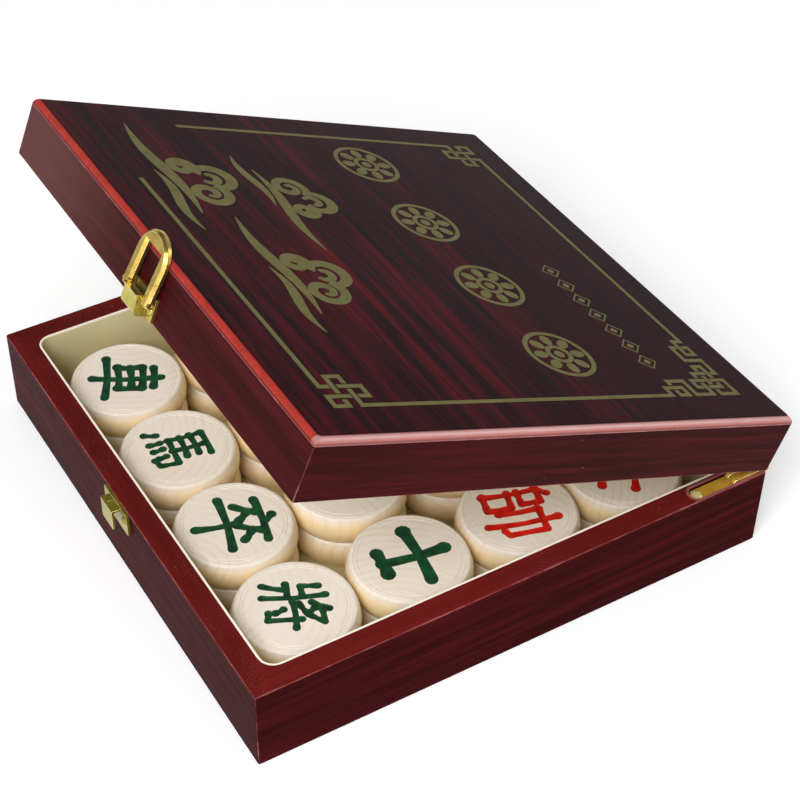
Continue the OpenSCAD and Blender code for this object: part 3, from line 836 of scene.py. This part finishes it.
def sunk(parts, places):
    # how far inside the strokes each point lies
    places = np.array(places, dtype=float)
    best = np.full(len(places), -1.0)
    for (ax, ay), (bx, by), ra, rb in parts:
        dx, dy = bx - ax, by - ay
        away = places - (ax, ay)
        share = np.clip((away[:, 0] * dx + away[:, 1] * dy) / (dx * dx + dy * dy), 0.0, 1.0)
        gap = np.hypot(away[:, 0] - share * dx, away[:, 1] - share * dy)
        best = np.maximum(best, ra + (rb - ra) * share - gap)
    return best


def markedPatch(parts):
    # the flat middle of a disc with its mark cut in: triangles, and which of them are painted
    count, slope = disc["segments"], disc["cutSlope"]
    points = [around(0, 0, disc["patch"], 2 * pi * i / count) for i in range(count)]
    loops = [list(range(count))]
    for shrink in (0.0, slope * 0.5, slope):
        for part in parts:
            outline = capsule(part, shrink)
            loops.append(list(range(len(points), len(points) + len(outline))))
            points += outline
    flat, _, faces, _, _, _ = delaunay_2d_cdt([Vector(p) for p in points], [], loops, 1, 1e-5)
    spots = [(x, y) for x, y in flat]
    shares = np.clip(sunk(parts, spots) / slope, 0.0, 1.0)
    levels = disc["height"] - disc["cutDepth"] * np.sin(shares * pi / 2)
    placed = [(x, y, float(z)) for (x, y), z in zip(spots, levels)]
    middles = [(sum(spots[i][0] for i in face) / len(face), sum(spots[i][1] for i in face) / len(face))
               for face in faces]
    painted = [1 if depth > 0 else 0 for depth in sunk(parts, middles)]
    return placed, faces, painted


def turnedSkin(tree, profile):
    # points and faces of the turned part, all facing away from the disc's middle
    body = makeMesh("turned", [(r, 0, h) for r, h in profile], [],
                    edges=[(i, i + 1) for i in range(len(profile) - 1)])
    grow(body, tree, {"Segments": disc["segments"], "Profile Points": len(profile), "Finish": finishes["disc"]})
    applyAll(body)
    middle, faces = Vector((0, 0, disc["height"] / 2 * mm)), []
    for polygon in body.data.polygons:
        ring = list(polygon.vertices)
        faces.append(tuple(ring if polygon.normal.dot(polygon.center - middle) > 0 else reversed(ring)))
    points = [tuple(v / mm for v in vertex.co) for vertex in body.data.vertices]
    bpy.data.objects.remove(body)
    return points, faces


def makeDisc(tree, layer, row, column, chance):
    word = layout[layer][row].split()[column]
    key = f"{layer}_r{row + 1}c{column + 1}"
    swing, ring, gap = (chance.uniform(*disc[k]) for k in ("headSwing", "ringShift", "gapShift"))
    points, faces = turnedSkin(tree, discProfile(disc["ring"] + ring, disc["ringGap"] + gap))
    placed, cut, painted = markedPatch(strokeParts(word, heads.get(key, disc["headTurn"] + swing)))
    slots = [0] * len(faces) + painted
    faces += [tuple(len(points) + i for i in face) for face in cut]
    piece = makeMesh(f"{layer}Disc_{key[-4:]}", points + placed, faces,
                     [finishes["disc"], finishes["green" if word in greens else "red"]], slots)
    piece.modifiers.new("weld", "WELD").merge_threshold = 0.000004
    applyAll(piece)
    mesh = piece.data
    tilt = Matrix.Rotation(chance.uniform(0, 2 * pi), 4, "Z")
    tilt @= Matrix.Rotation(chance.uniform(*disc["logTilt"]), 4, "X")
    shift = Vector([chance.uniform(*disc[k]) for k in ("logX", "logY", "logZ")])
    log = mesh.attributes.new("logPlace", "FLOAT_VECTOR", "POINT")
    log.data.foreach_set("vector", [v for vertex in mesh.vertices for v in tilt @ vertex.co + shift])
    # faceUp runs from 1 on the top to 0 down the side: it lays in the painted shade and bounced light of the side
    # colour
    up = mesh.attributes.new("faceUp", "FLOAT", "POINT")
    foot = disc["height"] - disc["paleAbove"]
    up.data.foreach_set("value", [max(0.0, min(1.0, (v.co.z / mm - foot) / disc["paleSpan"]))
                                  for v in mesh.vertices])
    place = (disc["firstX"] + column * disc["pitch"], disc["firstY"] + row * disc["pitch"],
             disc["floorZ"] + (disc["height"] if layer == "top" else 0))
    mesh.transform(Matrix.Translation([v * mm for v in place]))
    seat(piece, f"piece_{key}", [f"piece_{key}"], disc["smooth"])


def makeDiscs():
    tree, chance = turnedTree(), random.Random(11)
    for layer in layout:
        for row in range(4):
            for column in range(4):
                makeDisc(tree, layer, row, column, chance)


makeDiscs()
print("stage: discs made")


# Print on the lid

fret = {
    "left": -98.0, "right": 97.4, "front": -96.3, "back": 96.5, "frontStart": -52.0, "leftStart": -57.5,
    # the interlaced knot of two corners, about the corner of the border
    "knot":
        "-11.0,0 -11.0,4.2|-11.0,7.4 -11.0,17.2 -5.3,17.2 -5.3,12.8|-5.3,9.8 -5.3,0 0.2,0 0.2,5.8 -3.4,5.8|"
        "-6.9,5.6 -16.8,5.6 -16.8,11.3 -12.6,11.3|-9.3,11.3 0,11.3",
    # the larger fret of the right rear corner, as it lies about (96.4, 97.5)
    "corner":
        "60.3,97.5 60.3,93.2 69.5,93.2 69.5,97.9 64.6,97.9 64.6,94.8|"
        "64.6,91.6 64.6,88.8 73.6,88.8 73.6,97.9 82.6,97.9 82.6,95.1|82.6,91.9 82.6,84.8 85.7,84.8|"
        "88.9,84.8 96.4,84.8 96.4,75.4 87.3,75.4 87.3,66.7 90.0,66.7|"
        "93.2,66.7 96.4,66.7 96.4,71.3 91.6,71.3 91.6,62.2 96.4,62.2|81.0,89.2 78.0,89.2 78.0,93.5 85.7,93.5|"
        "88.9,93.5 91.7,93.5 91.7,86.4|91.7,83.2 91.7,80.2 87.3,80.2 87.3,87.6|"
        "87.3,90.8 87.3,98.0 96.4,98.0 96.4,89.2 93.3,89.2|90.1,89.2 84.2,89.2",
    "cornerAt": (96.4, 97.5),
}


def ribbon(path, width):
    # flat line with mitred corners, as a left and a right side
    ways = [((b[0] - a[0]) / dist(a, b), (b[1] - a[1]) / dist(a, b)) for a, b in zip(path, path[1:])]
    left, right = [], []
    for (x, y), before, after in zip(path, ways[:1] + ways, ways + ways[-1:]):
        nx, ny = -(before[1] + after[1]) / 2, (before[0] + after[0]) / 2
        reach = width / 2 / (nx * nx + ny * ny)
        left.append((x + nx * reach, y + ny * reach))
        right.append((x - nx * reach, y - ny * reach))
    return left, right


def printShape(strips):
    # strips of quads with a left and a right side each, given a little thickness
    top, points, faces = box["boardTop"], [], []
    for strip in strips:
        count, start = len(strip[0]), len(points)
        for z in (top + printInk["thickness"], top - printInk["sunk"]):
            points += [(x, y, z) for side in strip for x, y in side]
        a, b, c, d = (start + k * count for k in range(4))
        for i in range(count - 1):
            for p, q in ((b, a), (c, d), (a, c), (d, b)):
                faces.append((p + i, p + i + 1, q + i + 1, q + i))
        e = count - 1
        faces += [(b, a, c, d), (a + e, b + e, d + e, c + e)]
    return points, faces


def fretPaths():
    left, right, front, back = (fret[side] for side in ("left", "right", "front", "back"))
    first, second = ([[(cx + way * x, cy + way * y) for x, y in line] for line in strokes(fret["knot"])]
                     for cx, cy, way in ((right, front, 1), (left, back, -1)))
    ox, oy = right - fret["cornerAt"][0], back - fret["cornerAt"][1]
    corner = [[(x + ox, y + oy) for x, y in line] for line in strokes(fret["corner"])]
    # the knots run on into the lines of the border
    first[0].insert(0, (fret["frontStart"], front))
    first[4] += corner.pop(4)[::-1]
    second[0] = corner.pop(0)[::-1] + second[0]
    second[4].append((left, fret["leftStart"]))
    return first + second + corner


def makeBorder():
    points, faces = printShape([ribbon(path, printInk["lineWidth"]) for path in fretPaths()])
    piece = makeMesh("printedBorder", points, faces, [finishes["ink"]])
    seat(piece, "lid", (), pose=lidPose)


motifs = {
    "medallions": [(-75, 25), (-27, 25), (21, 25), (69, 25)], "radius": 15.0, "petals": 8, "line": 2.0,
    "rings": (0.93, 0.32), "wreath": 0.61, "petal": (0.215, 0.155), "dot": 0.15,
    "lozenges": 7, "lozengeFrom": (9.0, 66.5), "lozengeStep": 11.0, "lozengeRadius": 4.4, "lozengeLine": 0.9,
    "lozengeCore": 0.42,
    "clouds": [(-52, -70, 1.25, 0), (-42, -29, 1.1, 1), (18, -57, 1.2, 0)], "strokeWidth": 3.3,
}


def newShape(name, inputs):
    return newTree("Geometry", name, {**inputs, "Thickness": "Float", "Finish": "Material"},
                   {"Geometry": "Geometry"})


def sweep(curve, width, thickness, more=()):
    section = wire(curve.tree, "GeometryNodeCurvePrimitiveQuadrilateral", {"Width": width, "Height": thickness})
    return wire(curve.tree, "GeometryNodeCurveToMesh", {"Curve": curve, "Profile Curve": section, **dict(more)})


def disk(tree, count, radius, thickness):
    return wire(tree, "GeometryNodeMeshCylinder", {"Vertices": count, "Radius": radius, "Depth": thickness})


def spread(points, shape, more=()):
    return wire(shape.tree, "GeometryNodeInstanceOnPoints", {"Points": points, "Instance": shape, **dict(more)})


def join(parts):
    made = add(parts[0].tree, "GeometryNodeJoinGeometry")
    for part in reversed(parts):
        plug(made, {0: part})
    return Wire(made.outputs[0])


def strokeTree():
    # a flat band of ink along each curve, as broad as the curve's own radius says
    tree, given, out = newShape("inkStroke", {"Curves": "Geometry", "Width": "Float"})
    level = wire(tree, "GeometryNodeSetCurveNormal", {"Curve": given["Curves"]}, mode="Z_UP")
    band = sweep(level, given["Width"], given["Thickness"],
                 {"Fill Caps": True, "Scale": wire(tree, "GeometryNodeInputRadius")})
    return finishTree(band, given["Finish"], out)


def medallionTree():
    # two rings and a wreath of petals round a dot, set at each point of the mesh
    tree, given, out = newShape("petalMedallion", {
        "Points": "Geometry", "Petals": "Int", "Radius": "Float", "Line": "Float"})
    radius, thickness = given["Radius"], given["Thickness"]
    parts = [sweep(wire(tree, "GeometryNodeCurvePrimitiveCircle", {"Resolution": 72, "Radius": radius * share}),
                   given["Line"], thickness) for share in motifs["rings"]]
    centres = wire(tree, "GeometryNodeMeshCircle", {"Vertices": given["Petals"],
                                                    "Radius": radius * motifs["wreath"]})
    x, y, _ = xyz(wire(tree, "GeometryNodeInputPosition"))
    long, wide = motifs["petal"]
    parts.append(spread(centres, disk(tree, 20, 1.0, thickness), {
        "Rotation": combine(0.0, 0.0, maths("ARCTAN2", y, x)), "Scale": combine(radius * long, radius * wide, 1.0)}))
    parts.append(disk(tree, 24, radius * motifs["dot"], thickness))
    return finishTree(spread(given["Points"], join(parts)), given["Finish"], out)


def lozengeTree():
    # a straight row of lozenges, each an outline round a small filled one
    tree, given, out = newShape("lozengeRow", {
        "Geometry": "Geometry", "Count": "Int", "Start": "Vector", "Step": "Vector", "Radius": "Float",
        "Line": "Float"})
    row = wire(tree, "GeometryNodeMeshLine", {"Count": given["Count"], "Start Location": given["Start"],
                                              "Offset": given["Step"]})
    square = wire(tree, "GeometryNodeCurvePrimitiveCircle", {"Resolution": 4, "Radius": given["Radius"]})
    parts = [sweep(square, given["Line"], given["Thickness"]),
             disk(tree, 4, given["Radius"] * motifs["lozengeCore"], given["Thickness"])]
    return finishTree(spread(row, join(parts)), given["Finish"], out)


def arc(cx, cy, r0, r1, a0, a1, steps=28):
    return [around(cx, cy, r0 + (r1 - r0) * t, radians(a0 + (a1 - a0) * t))
            for t in (i / steps for i in range(steps + 1))]


def wisp(x, y, length, rise, steps=24):
    return [(x + length * i / steps, y + rise * sin(2 * pi * i / steps)) for i in range(steps + 1)]


# One cloud scroll about its middle: each line with its broadness at start, middle and end
cloudLines = [
    (arc(7.6, -0.4, 1.2, 7.2, -400, 140, 48), (0.5, 1.0, 1.1)),
    (arc(-8.6, -2.4, 1.0, 5.0, 590, 40, 48), (0.5, 1.0, 1.0)),
    (arc(-2.4, 6.0, 6.2, 6.2, 212, 5), (0.9, 1.3, 0.9)),
    (arc(-2.2, 4.6, 2.0, 3.4, 560, 300, 24), (0.5, 0.9, 0.5)),
    (wisp(-36, -9.6, 56, -1.4), (0.1, 1.35, 0.15)),
    (wisp(-6, -13.6, 36, 1.3), (0.1, 1.1, 0.1)),
]


def cloudCurves():
    # each line lies a hair above the last, so that no two faces share a plane
    data = bpy.data.curves.new("cloudCurves", "CURVE")
    data.dimensions = "3D"
    z, lift = box["boardTop"], 0.001
    for x, y, size, mirrored in motifs["clouds"]:
        for path, (first, middle, last) in cloudLines:
            spline = data.splines.new("POLY")
            spline.points.add(len(path) - 1)
            for i, (px, py) in enumerate(path):
                t = i / (len(path) - 1)
                end = first if t < 0.5 else last
                spot = spline.points[i]
                spot.co = ((x + (-px if mirrored else px) * size) * mm, (y + py * size) * mm, z * mm, 1)
                spot.radius = (end + (middle - end) * sin(pi * t)) * size
            z += lift
    return newObject("cloudCurves", data)


def makeMotifs():
    top, ink = box["boardTop"], {"Thickness": printInk["thickness"] * 2 * mm, "Finish": finishes["ink"]}
    curves = cloudCurves()
    grow(curves, strokeTree(), {"Width": motifs["strokeWidth"] * mm, **ink})
    clouds = newObject("printedClouds", plainMesh(curves))
    bpy.data.objects.remove(curves)
    medals = makeMesh("printedMedallions", [(x, y, top) for x, y in motifs["medallions"]], [])
    grow(medals, medallionTree(), {"Petals": motifs["petals"], "Radius": motifs["radius"] * mm,
                                   "Line": motifs["line"] * mm, **ink})
    row = makeMesh("printedLozenges", [(0, 0, 0)], [])
    x, y = motifs["lozengeFrom"]
    grow(row, lozengeTree(), {
        "Count": motifs["lozenges"], "Start": (x * mm, y * mm, top * mm),
        "Step": (motifs["lozengeStep"] * mm, 0.0, 0.0), "Radius": motifs["lozengeRadius"] * mm,
        "Line": motifs["lozengeLine"] * mm, **ink})
    for piece in (clouds, medals, row):
        seat(piece, "lid", (), pose=lidPose)


makeBorder()
makeMotifs()
print("stage: print made")


# Studio

studio = {
    "azimuth": 59.627, "elevation": 41.987, "roll": 0.186, "place": (0.49124, -0.28825, 0.54494),
    "focalPixels": 1852.4, "centreX": 370.0, "centreY": 410.0, "frame": 800.0, "sensor": 36.0,
    "ambient": 0.5, "ceiling": 0.2, "target": (0, 0, 0.05),
    "lamps": [    # place, size and power
        ("keyLamp", (0.68, -0.88, 1.08), (0.75, 0.75), 15.4),
        ("rimLamp", (0.66, 1.15, 0.6), (0.6, 0.6), 4.5),
        ("frontLamp", (1.0, -1.1, 0.35), (0.6, 0.5), 3.2)],
    "floorRadius": 3000.0, "floorCorners": 64, "floorZ": -0.3, "glowReach": (0.3, 1.8), "floorGlow": (0.24, 0.62),
}


def makeCamera():
    data = bpy.data.cameras.new("photoCamera")
    data.sensor_width = studio["sensor"]
    data.lens = studio["focalPixels"] / studio["frame"] * studio["sensor"]
    data.shift_x = (studio["frame"] / 2 - studio["centreX"]) / studio["frame"]
    data.shift_y = (studio["centreY"] - studio["frame"] / 2) / studio["frame"]
    data.clip_start, data.clip_end = 0.05, 50.0
    camera = newObject("photoCamera", data)
    pose = Matrix.Translation(studio["place"])
    for angle, axis in ((studio["azimuth"], "Z"), (90 - studio["elevation"], "X"), (studio["roll"], "Z")):
        pose @= Matrix.Rotation(radians(angle), 4, axis)
    camera.matrix_world = pose
    bpy.context.scene.camera = camera


def makeLamp(name, place, size, power):
    data = bpy.data.lights.new(name, "AREA")
    data.shape, data.size, data.size_y, data.energy = "RECTANGLE", size[0], size[1], power
    lamp = newObject(name, data)
    lamp.location = place
    lamp.rotation_euler = (Vector(studio["target"]) - Vector(place)).to_track_quat("-Z", "Y").to_euler()


def seenRays(tree):
    # rays of the camera, and those that metal and glass pass on
    path = add(tree, "ShaderNodeLightPath").outputs
    camera, glossy, clear = (Wire(path[f"Is {word} Ray"]) for word in ("Camera", "Glossy", "Transmission"))
    return larger(camera, larger(glossy, clear))


def makeWorld():
    world = bpy.data.worlds.new("studioWorld")
    bpy.context.scene.world = world
    world.use_nodes = True
    tree = world.node_tree
    tree.nodes.clear()
    height = xyz(wire(tree, "ShaderNodeTexCoord", out="Generated"))[2]
    lit, shown = (wire(tree, "ShaderNodeBackground", {"Color": "#ffffff", "Strength": strength})
                  for strength in (studio["ambient"], fade(height, 0.3, 0.6, 1.0, studio["ceiling"])))
    add(tree, "ShaderNodeOutputWorld", {0: wire(tree, "ShaderNodeMixShader", {0: seenRays(tree), 1: lit, 2: shown})})


def makeFloor():
    size, count = studio["floorRadius"], studio["floorCorners"]
    points = [(*around(0, 0, size, 2 * pi * i / count), studio["floorZ"]) for i in range(count)]
    material, place = newFinish("paleFloor")
    away = vector("LENGTH", place, out="Value")
    glow = fade(away, *studio["glowReach"], *studio["floorGlow"])
    plug(material.node_tree.nodes["Principled BSDF"], {
        "Base Color": (0.9, 0.9, 0.9, 1), "Roughness": 0.7, "Specular IOR Level": 0.1, "Emission Color": "#ffffff",
        "Emission Strength": seenRays(place.tree) * glow})
    makeMesh("paleFloor", points, [tuple(range(count))], [material])


makeCamera()
makeWorld()
makeFloor()
for settings in studio["lamps"]:
    makeLamp(*settings)
bpy.context.scene.view_settings.view_transform = "Standard"
print("stage: studio made")
